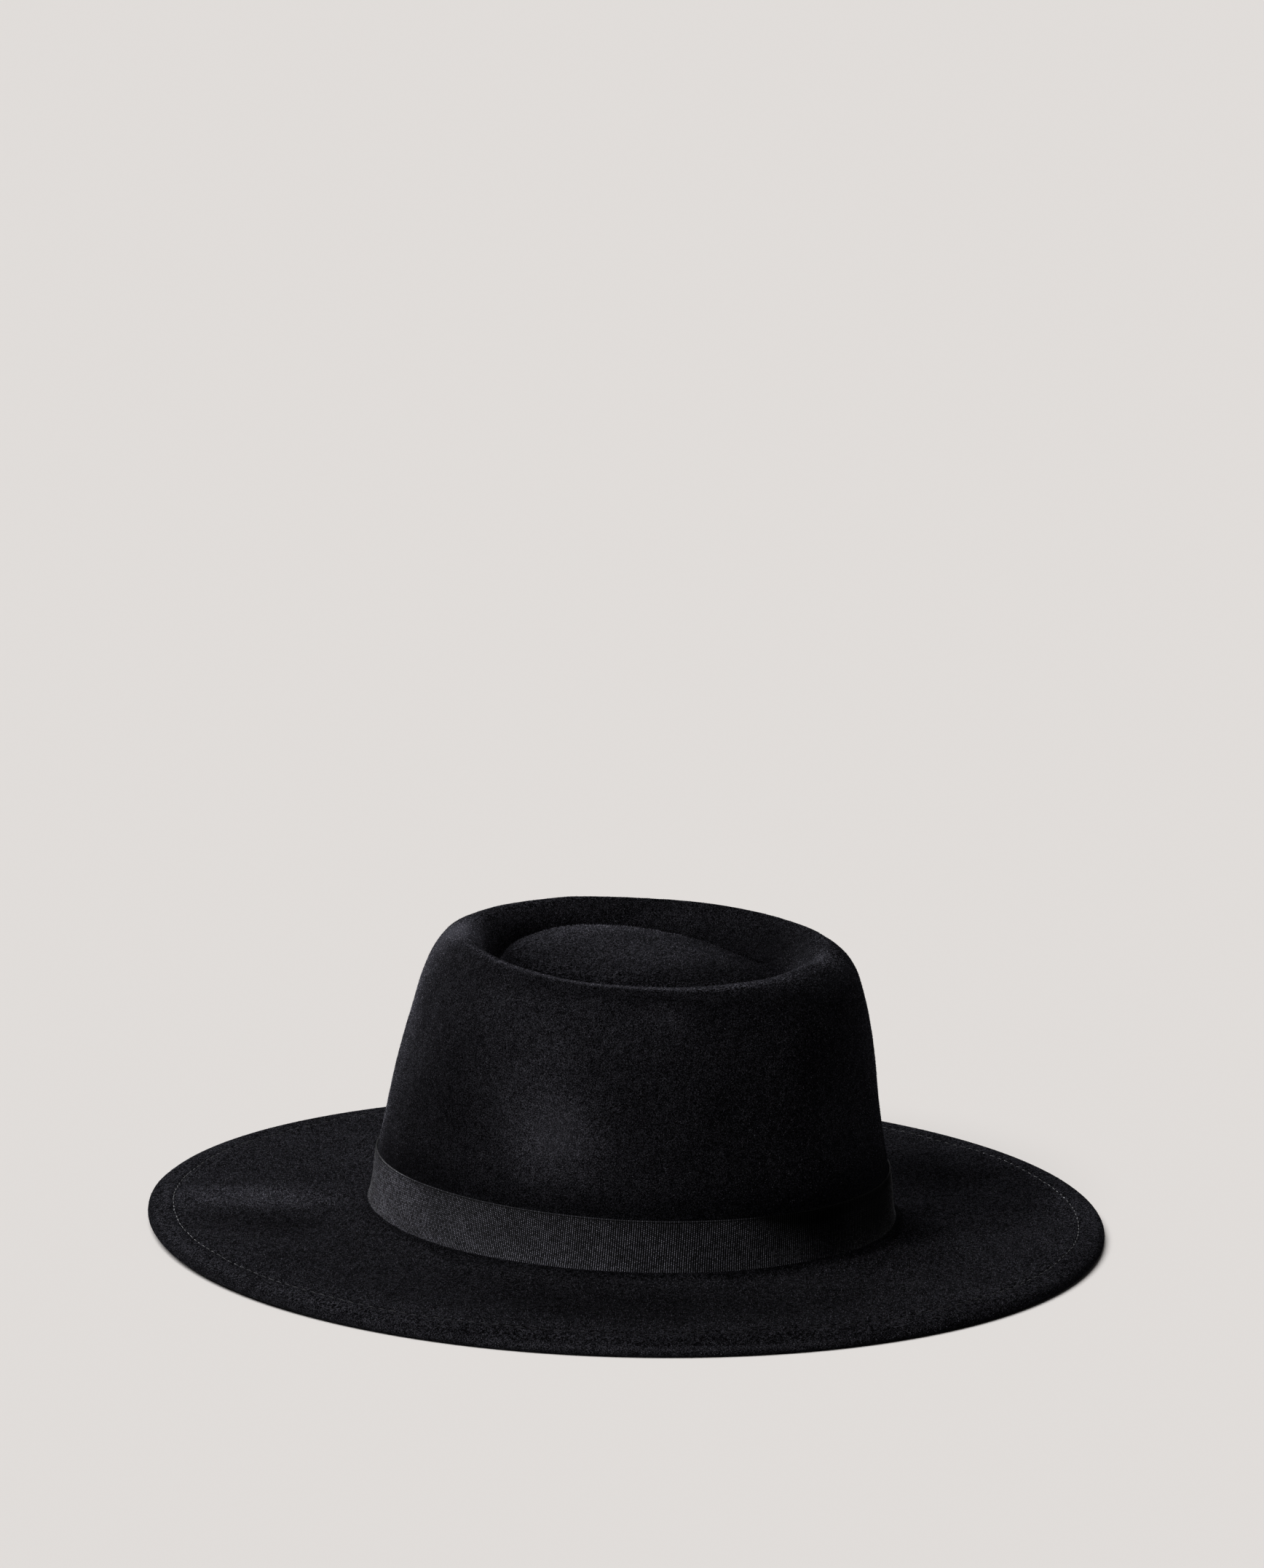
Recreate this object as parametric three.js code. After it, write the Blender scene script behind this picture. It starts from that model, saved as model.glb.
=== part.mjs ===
// Wide brim fedora: one piece of black felt with a grosgrain ribbon round its crown.
// Millimetres, +Z up. The front of the hat looks along -Y, and the wearer's left is +X.
// The origin is on the surface that the brim rests on, under the middle of the brim.
import * as THREE from 'three';

// Driving sizes of the felt.
const HEAD_LENGTH = 203; // foot of the crown, outside the felt, front to back
const HEAD_WIDTH = 170; // the same oval from side to side
const CROWN_HEIGHT = 103.5; // ridge round the top of the crown, above the brim
const CROWN_LEAN = 9.5; // how far the crown's top sits in front of its foot
const CROWN_TILT = 2.1; // how far the ridge climbs on its high side, and falls on the other
const BRIM_WIDTH = 81; // foot of the crown to the edge
const BRIM_RISE = 1.5; // foot of the crown above the top of a flat hem
const FELT = 2; // one layer of felt
const THREAD = 0.2; // what the stitches hold open between the two layers of the hem
const HEM_WIDTH = 9.5; // edge folded under and stitched down
const HEM_TURN = 2.3; // how far the hem turns down from its stitches at the front
const REST_WIDTH = 4; // strip under the hem, pressed flat where the brim rests

// Driving sizes of the ribbon.
const RIBBON_WIDTH = 21;
const RIBBON_THICKNESS = 1;
const RIBBON_LAP = 14; // one end of the ribbon lies over the other
const RIBBON_GAP = 0.3; // between the ribbon and the felt

// Fineness of the surface.
const SEGMENTS = 72;
const EDGE_TURNS = [60, 20, -20, -60]; // rings round the edge of the brim, in degrees

const HEM_THICKNESS = 2 * FELT + THREAD;
const EDGE_RADIUS = HEM_THICKNESS / 2;
const FLAT_BRIM = BRIM_WIDTH - HEM_WIDTH;
const FOOT_HEIGHT = HEM_THICKNESS + BRIM_RISE;
const SEGMENT_ANGLE = 360 / SEGMENTS;
const DEG = Math.PI / 180;

// Sections of the crown, from the middle of its top down to the brim. Each is an oval:
// long, wide: shares of half the head's length and width; taper: narrower towards the front;
// back: centre moved back, as a share of half the head's length;
// crown or ribbon: height above the foot, as a share of the crown's height or the ribbon's width;
// tilt: share of the crown's tilt; steps: rings that lead up to this section.
const CROWN_SECTIONS = [
  { name: 'dome_top', long: 0, wide: 0, taper: 0, back: 0.04, crown: 0.968, tilt: 0, steps: 1 },
  { name: 'dome_slope', long: 0.31, wide: 0.31, taper: 0.1, back: 0.04, crown: 0.957, tilt: 0.8, steps: 2 },
  { name: 'dome_foot', long: 0.475, wide: 0.495, taper: 0.15, back: 0.03, crown: 0.918, tilt: 1.6, steps: 2 },
  { name: 'trough', long: 0.525, wide: 0.57, taper: 0.1, back: 0.02, crown: 0.872, tilt: 1.2, steps: 2 },
  { name: 'trough_wall', long: 0.556, wide: 0.63, taper: 0.05, back: 0.015, crown: 0.9, tilt: 1, steps: 2 },
  { name: 'lip', long: 0.59, wide: 0.69, taper: -0.03, back: 0.015, crown: 0.963, tilt: 1, steps: 2 },
  { name: 'ridge', long: 0.665, wide: 0.739, taper: -0.05, back: 0.012, crown: 1, tilt: 1, steps: 2 },
  { name: 'ridge_turn', long: 0.745, wide: 0.766, taper: -0.03, back: 0.01, crown: 0.985, tilt: 1, steps: 2 },
  { name: 'shoulder', long: 0.807, wide: 0.785, taper: -0.01, back: 0, crown: 0.94, tilt: 1, steps: 2 },
  { name: 'side_top', long: 0.847, wide: 0.82, taper: 0, back: 0, crown: 0.86, tilt: 0.85, steps: 2 },
  { name: 'side_middle', long: 0.912, wide: 0.94, taper: 0, back: 0, crown: 0.53, tilt: 0.5, steps: 4 },
  { name: 'ribbon_top', long: 0.969, wide: 0.969, taper: 0, back: 0, ribbon: 1, tilt: 0.2, steps: 3 },
  { name: 'ribbon_foot', long: 0.99, wide: 0.99, taper: 0, back: 0, ribbon: 0.11, tilt: 0, steps: 3 },
];

// Sections of the brim, from the foot of the crown out round the edge.
// brim, hem: distance out from the foot, as shares of the flat brim and the hem;
// thick, rise, turn: height, as shares of the hem's thickness, the brim's rise and the hem's turn.
const BRIM_SECTIONS = [
  { name: 'fillet', brim: 0.03, hem: 0, thick: 1, rise: 1.4, turn: 0, steps: 2 },
  { name: 'brim_start', brim: 0.13, hem: 0, thick: 1, rise: 1, turn: 0.1, steps: 1 },
  { name: 'brim_middle', brim: 0.55, hem: 0, thick: 1, rise: 0.6, turn: 0.5, steps: 2 },
  { name: 'stitch_line', brim: 1, hem: 0, thick: 1, rise: 0, turn: 1, steps: 2 },
  { name: 'hem_middle', brim: 1, hem: 0.42, thick: 1, rise: 0, turn: 0.6, steps: 1 },
];

// Soft folds of the brim. angle: from the front towards the wearer's left; spread: to each side;
// rise: at the edge, as a share of the brim's width; swing: how it grows outwards, as a power.
const BRIM_FOLDS = [
  { name: 'back_lift', angle: 216, spread: 72, rise: 0.018, swing: 1.5 },
  { name: 'front_lift', angle: 36, spread: 72, rise: 0.005, swing: 1.5 },
  { name: 'back_crease', angle: 208, spread: 11, rise: 0.022, swing: 0.4 },
];

// Soft dents in the crown's side. height, tall: middle and reach up and down, as shares of the
// crown's height; spread: reach to each side; depth: a share of the head's width, inwards.
const CROWN_DENTS = [
  { name: 'right_side', angle: 268, spread: 30, height: 0.45, tall: 0.34, depth: 0.02 },
  { name: 'right_front', angle: 309, spread: 13, height: 0.6, tall: 0.16, depth: 0.007 },
  { name: 'right_back', angle: 226, spread: 22, height: 0.62, tall: 0.26, depth: 0.014 },
  { name: 'front', angle: 0, spread: 20, height: 0.55, tall: 0.3, depth: 0.008 },
  { name: 'left_side', angle: 92, spread: 30, height: 0.45, tall: 0.34, depth: 0.016 },
  { name: 'left_back', angle: 138, spread: 22, height: 0.62, tall: 0.26, depth: 0.01 },
  { name: 'left_front_swell', angle: 45, spread: 75, height: -0.05, tall: 0.55, depth: -0.03 },
];

const HEM_TURN_ANGLE = 306; // middle of the stretch where the hem turns down
const TILT_ANGLE = 195; // high side of the ridge
const LEAN_ANGLE = 9; // the way that the crown's top leans from its foot
const LAP_ANGLE = 90; // middle of the ribbon's lap

// A smooth hill, 1 in the middle and 0 from one reach away.
function hill(distance, reach) {
  const share = Math.abs(distance) / reach;
  return share < 1 ? Math.cos((share * Math.PI) / 2) ** 2 : 0;
}

// Angle from one direction to another, from -180 to 180 degrees.
function angleBetween(angle, other) {
  return ((((angle - other + 180) % 360) + 360) % 360) - 180;
}

// A point on an oval round the hat's axis, at an angle in degrees from the front.
function ovalPoint(angle, halfLength, halfWidth, taper, back, z) {
  const side = Math.sin(angle * DEG);
  const front = Math.cos(angle * DEG);
  return new THREE.Vector3(halfWidth * side * (1 - taper * front), back - halfLength * front, z);
}

function crownPoint(section, angle) {
  const { crown = 0, ribbon = 0 } = section;
  const height = crown * CROWN_HEIGHT + ribbon * RIBBON_WIDTH;
  const tilt = CROWN_TILT * section.tilt * Math.cos((angle - TILT_ANGLE) * DEG);
  const halfLength = (section.long * HEAD_LENGTH) / 2;
  const halfWidth = (section.wide * HEAD_WIDTH) / 2;
  const back = (section.back * HEAD_LENGTH) / 2;
  const z = FOOT_HEIGHT + height + tilt;
  const point = ovalPoint(angle, halfLength, halfWidth, section.taper, back, z);
  const lean = (CROWN_LEAN * height) / CROWN_HEIGHT;
  point.x += lean * Math.sin(LEAN_ANGLE * DEG);
  point.y -= lean * Math.cos(LEAN_ANGLE * DEG);
  return point;
}

// Share of the hem's turn: 1 where it turns down, 0 where it lies flat.
function turnShare(angle) {
  return 0.5 + 0.5 * Math.cos(angleBetween(angle, HEM_TURN_ANGLE) * DEG);
}

function brimLift(angle, out) {
  let lift = 0;
  for (const fold of BRIM_FOLDS) {
    const around = hill(angleBetween(angle, fold.angle), fold.spread);
    lift += fold.rise * BRIM_WIDTH * around * (out / BRIM_WIDTH) ** fold.swing;
  }
  return lift;
}

// A point of the brim, a distance out from the crown's foot and at a height before any fold.
function brimPoint(angle, out, z) {
  return ovalPoint(angle, HEAD_LENGTH / 2 + out, HEAD_WIDTH / 2 + out, 0, 0, z + brimLift(angle, out));
}

function brimSectionPoint(section, angle) {
  const out = section.brim * FLAT_BRIM + section.hem * HEM_WIDTH;
  const turn = section.turn * HEM_TURN * turnShare(angle);
  return brimPoint(angle, out, section.thick * HEM_THICKNESS + section.rise * BRIM_RISE + turn);
}

// A point on the rounded edge, at a turn up or down from its outermost line.
function edgePoint(angle, turn) {
  const out = BRIM_WIDTH - EDGE_RADIUS * (1 - Math.cos(turn * DEG));
  return brimPoint(angle, out, EDGE_RADIUS * (1 + Math.sin(turn * DEG)));
}

// The upper skin along one direction, from the middle of the top to the hem.
function skinPoints(angle) {
  const sections = [...CROWN_SECTIONS, ...BRIM_SECTIONS];
  const controls = CROWN_SECTIONS.map((section) => crownPoint(section, angle));
  controls.push(...BRIM_SECTIONS.map((section) => brimSectionPoint(section, angle)));
  const across = crownPoint(CROWN_SECTIONS[1], angle + 180);
  const curve = new THREE.CatmullRomCurve3([across, ...controls], false, 'centripetal');
  const points = [controls[0]];
  for (let i = 1; i < sections.length; i += 1) {
    for (let step = 1; step <= sections[i].steps; step += 1) {
      points.push(curve.getPoint((i + step / sections[i].steps) / controls.length));
    }
  }
  return points;
}

// How many rings lead from the middle of the top to a named section.
function ringOf(name) {
  const sections = [...CROWN_SECTIONS, ...BRIM_SECTIONS];
  const last = sections.findIndex((section) => section.name === name);
  return sections.slice(1, last + 1).reduce((sum, section) => sum + section.steps, 0);
}

// Presses the dents into the crown's side, towards the axis of the hat.
function pressDents(point, angle) {
  const height = (point.z - FOOT_HEIGHT) / CROWN_HEIGHT;
  let depth = 0;
  for (const dent of CROWN_DENTS) {
    const around = hill(angleBetween(angle, dent.angle), dent.spread);
    depth += dent.depth * HEAD_WIDTH * around * hill(height - dent.height, dent.tall);
  }
  point.x -= depth * Math.sin(angle * DEG);
  point.y += depth * Math.cos(angle * DEG);
}

// The upper skin as rings of points, one ring for each step from the middle to the hem.
function skinRings() {
  const columns = [];
  for (let j = 0; j < SEGMENTS; j += 1) {
    const angle = SEGMENT_ANGLE * j;
    const points = skinPoints(angle);
    for (let i = ringOf('ridge') + 1; i <= ringOf('fillet'); i += 1) {
      pressDents(points[i], angle);
    }
    columns.push(points);
  }
  return columns[0].map((_, i) => columns.map((points) => points[i]));
}

// Directions out of a surface given as rings, one for each point.
function ringNormals(rings) {
  return rings.map((ring, i) =>
    ring.map((_, j) => {
      if (i === 0) return new THREE.Vector3(0, 0, 1);
      const before = rings[i - 1][j];
      const after = rings[Math.min(i + 1, rings.length - 1)][j];
      const outwards = new THREE.Vector3().subVectors(after, before);
      const left = ring[(j + 1) % SEGMENTS];
      const right = ring[(j + SEGMENTS - 1) % SEGMENTS];
      const around = new THREE.Vector3().subVectors(left, right);
      return outwards.cross(around).normalize();
    }),
  );
}

// The same rings moved along their normals, by a distance that depends on the angle.
function offsetRings(rings, normals, distanceAt) {
  return rings.map((ring, i) =>
    ring.map((point, j) => point.clone().addScaledVector(normals[i][j], distanceAt(SEGMENT_ANGLE * j))),
  );
}

function ringAt(pointAt) {
  return Array.from({ length: SEGMENTS }, (_, j) => pointAt(SEGMENT_ANGLE * j));
}

// Joins rings into one closed skin. With poles, the first and last ring shrink to a point;
// without, the last ring joins the first.
function ringGeometry(rings, poles) {
  const positions = [];
  const starts = rings.map((ring, i) => {
    const start = positions.length / 3;
    const isPole = poles && (i === 0 || i === rings.length - 1);
    for (const point of isPole ? ring.slice(0, 1) : ring) {
      positions.push(point.x, point.y, point.z);
    }
    return { start, isPole };
  });
  const at = (i, j) => starts[i].start + (starts[i].isPole ? 0 : j % SEGMENTS);
  const indices = [];
  const bands = poles ? rings.length - 1 : rings.length;
  for (let i = 0; i < bands; i += 1) {
    const next = (i + 1) % rings.length;
    for (let j = 0; j < SEGMENTS; j += 1) {
      if (!starts[i].isPole) indices.push(at(i, j), at(next, j), at(i, j + 1));
      if (!starts[next].isPole) indices.push(at(i, j + 1), at(next, j), at(next, j + 1));
    }
  }
  const geometry = new THREE.BufferGeometry();
  geometry.setAttribute('position', new THREE.Float32BufferAttribute(positions, 3));
  geometry.setIndex(indices);
  geometry.computeVertexNormals();
  return geometry;
}

function feltBody(skin, normals) {
  const edge = EDGE_TURNS.map((turn) => ringAt((angle) => edgePoint(angle, turn)));
  const restOut = BRIM_WIDTH - EDGE_RADIUS;
  const under = [
    ringAt((angle) => brimPoint(angle, restOut, 0)),
    ringAt((angle) => brimPoint(angle, restOut - REST_WIDTH, 0)),
    ringAt((angle) => brimPoint(angle, FLAT_BRIM, HEM_TURN * turnShare(angle))),
  ];
  const inside = offsetRings(skin, normals, () => -FELT).slice(0, ringOf('stitch_line') + 1);
  const lining = inside.filter((_, i) => i % 2 === 0 || i === inside.length - 1).reverse();
  return ringGeometry([...skin, ...edge, ...under, ...lining], true);
}

// Share of a second layer of ribbon, where its end lies over its beginning.
function lapShare(angle) {
  const reach = RIBBON_LAP / HEAD_WIDTH / DEG;
  const beyond = Math.abs(angleBetween(angle, LAP_ANGLE)) - reach;
  return THREE.MathUtils.clamp(1 - beyond / SEGMENT_ANGLE, 0, 1);
}

function hatband(skin, normals) {
  const first = ringOf('ribbon_top');
  const last = ringOf('ribbon_foot');
  const held = skin.slice(first, last + 1);
  const heldNormals = normals.slice(first, last + 1);
  const near = offsetRings(held, heldNormals, () => RIBBON_GAP);
  const outside = (angle) => RIBBON_GAP + RIBBON_THICKNESS * (1 + lapShare(angle));
  const far = offsetRings(held, heldNormals, outside);
  return ringGeometry([...near.reverse(), ...far], false);
}

const felt = new THREE.MeshStandardMaterial({ color: 0x0b0b0d, roughness: 0.95, metalness: 0 });
const grosgrain = new THREE.MeshStandardMaterial({ color: 0x101012, roughness: 0.55, metalness: 0 });

const skin = skinRings();
const normals = ringNormals(skin);

const hat = new THREE.Group();
const body = new THREE.Mesh(feltBody(skin, normals), felt);
body.name = 'felt_body';
const band = new THREE.Mesh(hatband(skin, normals), grosgrain);
band.name = 'hatband';
hat.add(body, band);

export default hat;
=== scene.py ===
import math
from collections import namedtuple

import bpy
import numpy as np
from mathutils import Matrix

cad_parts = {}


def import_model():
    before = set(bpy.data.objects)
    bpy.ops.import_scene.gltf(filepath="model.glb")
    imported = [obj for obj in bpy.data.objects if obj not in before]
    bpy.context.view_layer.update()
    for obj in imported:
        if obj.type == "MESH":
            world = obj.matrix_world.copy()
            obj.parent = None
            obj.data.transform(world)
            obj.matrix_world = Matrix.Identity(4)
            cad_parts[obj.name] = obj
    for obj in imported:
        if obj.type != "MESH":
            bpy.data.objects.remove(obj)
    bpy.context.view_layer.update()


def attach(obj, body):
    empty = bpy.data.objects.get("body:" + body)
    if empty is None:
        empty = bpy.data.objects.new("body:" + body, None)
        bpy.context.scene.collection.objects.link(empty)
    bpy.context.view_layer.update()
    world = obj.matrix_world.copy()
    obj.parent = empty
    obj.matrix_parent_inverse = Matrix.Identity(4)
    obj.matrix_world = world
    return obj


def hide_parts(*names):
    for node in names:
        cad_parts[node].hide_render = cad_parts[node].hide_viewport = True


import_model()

# A wide brim fedora of black felt, with a grosgrain ribbon and a stitched hem, on a pale floor.
# Metres, +Z up. The front of the hat looks along -Y, and the wearer's left is +X.
# Angles go from the front towards the wearer's left, in degrees.
MM = 0.001

# Driving sizes of the felt, the same as the solids have.
HEAD_LENGTH = 203 * MM
HEAD_WIDTH = 170 * MM
CROWN_HEIGHT = 103.5 * MM
CROWN_LEAN = 9.5 * MM
CROWN_TILT = 2.1 * MM
BRIM_WIDTH = 81 * MM
BRIM_RISE = 1.5 * MM
FELT = 2 * MM
THREAD_GAP = 0.2 * MM
HEM_WIDTH = 9.5 * MM
HEM_TURN = 2.3 * MM
REST_WIDTH = 4 * MM
HEM_ALLOWANCE = 1.8 * MM  # from the stitches to the cut edge under the brim

# Driving sizes of the ribbon.
RIBBON_WIDTH = 21 * MM
RIBBON_THICKNESS = 0.55 * MM
RIBBON_FIT = 0.06 * MM  # between the ribbon and the felt
RIBBON_LAP = 14 * MM
RIBBON_DROP = 1.3 * MM  # how much lower the loose lower edge hangs
RIB_PITCH = 0.82 * MM
RIB_DEPTH = 0.2 * MM
RIB_FORM = [0, 0.72, 1, 0.72]  # its height at each column across one rib
RIB_REACH = 0.1 * MM  # how far a rib stands out at the ribbon's edges
LAP_FOLD = 0.25 * MM  # over which the folded upper end rises
LAP_EASE = 4 * MM  # over which the end below it thins out
LAP_RISE = 0.3 * MM  # how much higher the lap sits

# Driving sizes of the stitches in the hem.
STITCH_PITCH = 4.6 * MM
STITCH_LENGTH = 3.3 * MM
THREAD_RADIUS = 0.17 * MM
GROOVE_DEPTH = 0.24 * MM
GROOVE_WIDTH = 1.1 * MM
HOLE_DEPTH = 0.2 * MM
HOLE_WIDTH = 0.7 * MM
STITCH_SHIFT = 0.02  # how unevenly they are spaced, as a share of the pitch
STITCH_STRETCH = 0.05  # how much their lengths differ, as a share
STITCH_SLANT = 0.07 * MM  # how far their ends stray sideways
TOP_BULGE = 0.14 * MM  # how far a stitch on top of the hem arches up
UNDER_BULGE = -0.04 * MM  # the same under the hem, downwards

HEM_THICKNESS = 2 * FELT + THREAD_GAP
EDGE_RADIUS = HEM_THICKNESS / 2
FLAT_BRIM = BRIM_WIDTH - HEM_WIDTH
FOOT_HEIGHT = HEM_THICKNESS + BRIM_RISE

HEM_TURN_ANGLE = 306
TILT_ANGLE = 195
LEAN_ANGLE = 9
LAP_ANGLE = 90
ANGLE_STEP = 0.1  # for measuring round the crown

# Fineness of the felt's surface.
FINE_COLUMNS = 1080  # round the hat, along the stitches
COARSENING = 3  # fine columns to one coarse column elsewhere

# Sections of the crown, as ovals: long and wide are shares of half the head's length and width,
# crown and ribbon are heights above the foot as shares of the crown's height and the ribbon's width,
# and rings lead up to the section from the one before.
Crown = namedtuple("Crown", "name long wide taper back crown ribbon tilt rings")
CROWN_SECTIONS = [
    Crown("dome_top", 0, 0, 0, 0.04, 0.968, 0, 0, 1),
    Crown("dome_slope", 0.31, 0.31, 0.1, 0.04, 0.957, 0, 0.8, 9),
    Crown("dome_foot", 0.475, 0.495, 0.15, 0.03, 0.918, 0, 1.6, 7),
    Crown("trough", 0.525, 0.57, 0.1, 0.02, 0.872, 0, 1.2, 5),
    Crown("trough_wall", 0.556, 0.63, 0.05, 0.015, 0.9, 0, 1, 4),
    Crown("lip", 0.59, 0.69, -0.03, 0.015, 0.963, 0, 1, 4),
    Crown("ridge", 0.665, 0.739, -0.05, 0.012, 1, 0, 1, 7),
    Crown("ridge_turn", 0.745, 0.766, -0.03, 0.01, 0.985, 0, 1, 7),
    Crown("shoulder", 0.807, 0.785, -0.01, 0, 0.94, 0, 1, 4),
    Crown("side_top", 0.847, 0.82, 0, 0, 0.86, 0, 0.85, 5),
    Crown("side_middle", 0.912, 0.94, 0, 0, 0.53, 0, 0.5, 16),
    Crown("ribbon_top", 0.969, 0.969, 0, 0, 0, 1, 0.2, 17),
    Crown("ribbon_foot", 0.99, 0.99, 0, 0, 0, 0.11, 0, 6),
]

# Sections of the brim: brim and hem are distances out from the foot, as shares of the flat brim
# and the hem, and thick, rise and turn are heights, as shares of the sizes with those names.
Brim = namedtuple("Brim", "name brim hem thick rise turn rings")
BRIM_SECTIONS = [
    Brim("fillet", 0.03, 0, 1, 1.4, 0, 4),
    Brim("brim_start", 0.13, 0, 1, 1, 0.1, 4),
    Brim("brim_middle", 0.55, 0, 1, 0.6, 0.5, 14),
    Brim("stitch_line", 1, 0, 1, 0, 1, 14),
    Brim("hem_middle", 1, 0.42, 1, 0, 0.6, 3),
]
EDGE_TURNS = [60, 20, -20, -60]  # points of the rounded edge, up or down from its outermost line
EDGE_RINGS = 2  # between two of those points
FIRST_EDGE_RINGS = 3  # before the first of them

# Rings close beside the stitches, where the felt is drawn in: how far each is from them, in mm.
GROOVE_RINGS = [-2.4, -1.9, -1.4, -1, -0.65, -0.3, 0, 0.3, 0.65, 1, 1.4, 1.9, 2.4]
GROOVE_MARGIN = 2.8 * MM  # no other rings this near the stitches
INSIDE_END = 0.9  # share of the way from brim_middle to the stitches, where the inside stops
CUT_CORNER = 0.25 * MM  # rounding of the hem's cut edge

# Soft folds of the brim: rise is a share of the brim's width, swing the power it grows by, and fade
# the share of it that is lost again at the rim.
Fold = namedtuple("Fold", "name angle spread rise swing fade")
BRIM_FOLDS = [
    Fold("back_lift", 216, 72, 0.018, 1.5, 0),
    Fold("front_lift", 36, 72, 0.005, 1.5, 0),
    Fold("back_crease", 208, 11, 0.022, 0.4, 0.8),
]

# Soft dents in the crown's side: height and tall are shares of the crown's height, and depth a
# share of the head's width.
Dent = namedtuple("Dent", "name angle spread height tall depth")
CROWN_DENTS = [
    Dent("right_side", 268, 30, 0.45, 0.34, 0.02),
    Dent("right_front", 309, 13, 0.6, 0.16, 0.007),
    Dent("right_back", 226, 22, 0.62, 0.26, 0.014),
    Dent("front", 0, 20, 0.55, 0.3, 0.008),
    Dent("left_side", 92, 30, 0.45, 0.34, 0.016),
    Dent("left_back", 138, 22, 0.62, 0.26, 0.01),
    Dent("left_front_swell", 45, 75, -0.05, 0.55, -0.03),
]

# Handling marks all over the felt: size of a wave, and how far it goes in and out.
Ripple = namedtuple("Ripple", "wavelength height seed")
RIPPLES = [
    Ripple(62 * MM, 0.28 * MM, 11),
    Ripple(24 * MM, 0.11 * MM, 12),
    Ripple(7 * MM, 0.035 * MM, 13),
]
FADE_ABOVE = 12 * MM  # over which the marks fade out above the ribbon
FADE_BELOW = 3 * MM  # and below it

# Soft patches of painted light and painted shade on the felt, which make it lighter or darker there: lit
# faces, highlight lines along the ridge, the crease and the hem, and shade above and below the ribbon.
# Level is the distance along the felt from the ribbon's foot: up the crown, or below zero, out over the
# brim.
Patch = namedtuple("Patch", "name angle spread level reach tone")
PAINTED_LIGHT_PATCHES = [
    # The first two are painted shade just above and just below the ribbon.
    Patch("over_ribbon", 0, 2000, 21 * MM, 15 * MM, -0.5),
    Patch("under_ribbon", 0, 2000, 0, 11 * MM, -0.4),
    Patch("right_front_patch", 284, 20, 47 * MM, 25 * MM, 1.35),
    Patch("right_front_patch_top", 278, 19, 68 * MM, 24 * MM, 0.55),
    Patch("right_front_top", 274, 34, 90 * MM, 22 * MM, 0.35),
    Patch("right_front_spot", 306, 9, 93 * MM, 10 * MM, 0.6),
    Patch("right_side_shade", 249, 20, 45 * MM, 42 * MM, -0.42),
    Patch("front_right_shade", 322, 16, 55 * MM, 42 * MM, -0.2),
    Patch("front_patch", 358, 28, 50 * MM, 28 * MM, 0.45),
    Patch("right_back_patch", 214, 18, 84 * MM, 50 * MM, 2),
    Patch("right_back_foot", 210, 18, 34 * MM, 30 * MM, 1.4),
    Patch("right_back_shoulder", 210, 25, 109 * MM, 16 * MM, 2.1),
    Patch("back_lip", 160, 75, 122 * MM, 16 * MM, 0.8),
    Patch("left_lip_shade", 72, 26, 120 * MM, 13 * MM, -0.4),
    Patch("back_trough", 203, 26, 128 * MM, 11 * MM, 1.2),
    Patch("back_lip_shade", 196, 16, 115 * MM, 6 * MM, -0.4),
    Patch("dome_back", 150, 80, 148 * MM, 22 * MM, 1.6),
    Patch("dome_top", 0, 2000, 186 * MM, 40 * MM, 0.6),
    Patch("dome_front_shade", 350, 55, 156 * MM, 16 * MM, -0.3),
    Patch("left_patch", 96, 32, 58 * MM, 36 * MM, 0.5),
    Patch("back_patch", 168, 24, 48 * MM, 32 * MM, 0.4),
    Patch("crease_streak", 214, 8, -42 * MM, 46 * MM, 1.6),
    Patch("crease_shade", 229, 12, -38 * MM, 40 * MM, -0.45),
    Patch("right_back_hem", 217, 45, -83 * MM, 9 * MM, -0.5),
    Patch("right_ridge", 292, 84, 108 * MM, 3 * MM, 2.4),
    Patch("under_right_ridge", 292, 80, 100 * MM, 6 * MM, -0.25),
    Patch("right_brim_shade", 244, 18, -34 * MM, 36 * MM, -0.15),
    Patch("front_right_brim_shade", 300, 75, -38 * MM, 40 * MM, -0.5),
    Patch("left_brim_shade", 66, 34, -40 * MM, 46 * MM, -0.5),
    Patch("left_foot_shade", 32, 22, -10 * MM, 22 * MM, -0.4),
    Patch("left_edge", 42, 18, -74 * MM, 15 * MM, 0.6),
    Patch("edge", 230, 70, -80 * MM, 7 * MM, 0.6),
    Patch("edge_line", 316, 60, -83 * MM, 2.8 * MM, 1.3),
    Patch("edge_face", 0, 2000, -90 * MM, 5 * MM, -0.4),
    Patch("front_left_patch", 27, 15, 68 * MM, 48 * MM, 0.9),
    Patch("front_lip", 22, 13, 109 * MM, 9 * MM, 1.2),
    Patch("front_shoulder_shade", 350, 18, 99 * MM, 10 * MM, -0.3),
]

# Patches of painted sheen and painted shade on the ribbon: a painted glint, a lighter lower half, and
# painted shade at its upper edge, its right back end and its front.
PAINTED_SHEEN_PATCHES = [
    Patch("right_back_end", 211, 18, 10 * MM, 40 * MM, -0.6),
    Patch("right_back_glint", 238, 16, 14 * MM, 16 * MM, 0.7),
    Patch("lower_half", 275, 65, 1 * MM, 10 * MM, 0.35),
    Patch("upper_edge", 0, 2000, 21 * MM, 5 * MM, -0.4),
    Patch("front_end", 344, 24, 21 * MM, 24 * MM, -0.97),
    Patch("front_side", 12, 32, 13 * MM, 30 * MM, -0.95),
]

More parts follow.
